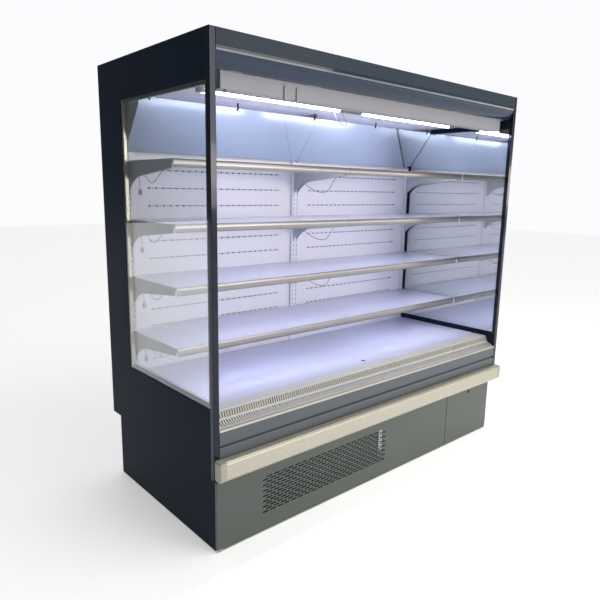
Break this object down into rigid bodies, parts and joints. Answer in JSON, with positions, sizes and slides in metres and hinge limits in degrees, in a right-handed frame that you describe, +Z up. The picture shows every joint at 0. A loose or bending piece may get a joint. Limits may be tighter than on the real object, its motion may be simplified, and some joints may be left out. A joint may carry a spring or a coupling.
{
  "type": "open multideck display fridge",
  "caption": "Open-front multideck display fridge with glass side walls, lit canopy, leaning mirror, tiered shelves on slotted uprights, slotted return grille, bumper and vented plinth.",
  "frame": {"origin": "centre of the overall footprint on the floor", "axes": "+X along the front to the viewer's right, +Y from the open front to the back, +Z up"},
  "size_m": [2.09, 0.995, 2],
  "materials": {
    "anthracite_panel": "satin powder coat",
    "canopy_gloss": "gloss",
    "post_black": "dark anodised",
    "kick_paint": "satin powder coat",
    "white_paint": "satin powder coat",
    "shelf_paint": "satin powder coat",
    "bracket_paint": "satin powder coat",
    "galvanised": "galvanised",
    "foam_skin": "satin",
    "aluminium": "satin anodised",
    "bumper_skin": "brushed",
    "bumper_cap": "gloss",
    "glass": "clear",
    "mirror": "polished",
    "cassette_skin": "satin",
    "curtain": "woven aluminised cloth",
    "lamp": "opal",
    "grey_plastic": "moulded",
    "black_plastic": "moulded",
    "black_paint": "gloss",
    "fin_aluminium": "mill",
    "rubber_foot": "moulded",
    "lead": "pvc"
  },
  "bodies": {
    "root": {"base_frame": "galvanised", "levelling_feet": "rubber_foot", "plinth_rail": "kick_paint", "kick_panel": "kick_paint", "base_side_right": "kick_paint", "unit_base_plate": "galvanised", "condenser_coil": "fin_aluminium", "condenser_shroud": "galvanised", "compressor": "black_paint", "electrical_box": "grey_plastic", "insulated_tank": "foam_skin", "insulated_back": "foam_skin", "insulated_roof": "anthracite_panel", "end_panel_left": "anthracite_panel", "end_panel_right": "anthracite_panel", "top_side_covers": "anthracite_panel", "front_posts": "post_black", "side_glass": "glass", "glass_spacers": "aluminium", "front_top_trim": "aluminium", "front_panel_upper": "anthracite_panel", "front_panel_lower": "anthracite_panel", "bumper": "bumper_skin", "bumper_end_caps": "bumper_cap", "canopy_fascia": "anthracite_panel", "canopy_lip": "canopy_gloss", "lip_end_caps": "black_plastic", "canopy_soffit": "white_paint", "ceiling_panel": "white_paint", "air_outlet_grille": "grey_plastic", "blind_cassette": "cassette_skin", "cassette_end_caps": "grey_plastic", "night_curtain": "curtain", "canopy_lamps": "lamp", "lamp_holders": "grey_plastic", "mirrors": "mirror", "mirror_cheeks": "bracket_paint", "mirror_clips": "black_plastic", "uprights": "white_paint", "back_panels": "white_paint", "shelf_1": "shelf_paint", "shelf_2": "shelf_paint", "shelf_3": "shelf_paint", "shelf_4": "shelf_paint", "shelf_brackets": "bracket_paint", "price_rails": "aluminium", "shelf_lamps": "lamp", "deck_trays": "shelf_paint", "return_air_grille": "white_paint", "evaporator_coil": "fin_aluminium", "evaporator_fan_deck": "galvanised", "lamp_link_lead": "lead", "shelf_lamp_leads": "lead", "lead_connectors": "grey_plastic"},
    "pull_bar": {"blind_pull_bar": "grey_plastic"},
    "roller": {"blind_roller": "curtain"},
    "access_panel": {"kick_access_panel": "kick_paint"},
    "fan_left": {"evaporator_fan_left": "black_plastic"},
    "fan_right": {"evaporator_fan_right": "black_plastic"},
    "condenser_fan": {"condenser_fan": "black_plastic"}
  },
  "joints": [
    {"name": "blind_pull", "type": "slide", "parent": "root", "child": "pull_bar", "axis": [0, 0, -1], "range_m": [0, 1.23], "stiffness_N_per_m": 20, "springref_m": -1.2, "deforming": ["night_curtain"]},
    {"name": "blind_roll", "type": "hinge", "parent": "root", "child": "roller", "pos_m": [0, -0.3695, 1.84125], "axis": [1, 0, 0], "range_deg": [0, 2839]},
    {"name": "access_panel_tilt", "type": "hinge", "parent": "root", "child": "access_panel", "pos_m": [0.7338, -0.4685, 0.015], "axis": [1, 0, 0], "range_deg": [0, 80]},
    {"name": "evaporator_fan_left_spin", "type": "hinge", "parent": "root", "child": "fan_left", "pos_m": [-0.45, -0.14, 0.455], "axis": [0, 1, 0], "continuous": true},
    {"name": "evaporator_fan_right_spin", "type": "hinge", "parent": "root", "child": "fan_right", "pos_m": [0.45, -0.14, 0.455], "axis": [0, 1, 0], "continuous": true},
    {"name": "condenser_fan_spin", "type": "hinge", "parent": "root", "child": "condenser_fan", "pos_m": [-0.42, -0.3445, 0.183], "axis": [0, 1, 0], "continuous": true}
  ],
  "couplings": [
    {"joint": "blind_roll", "follows": "blind_pull", "rad_per_m": 40}
  ]
}
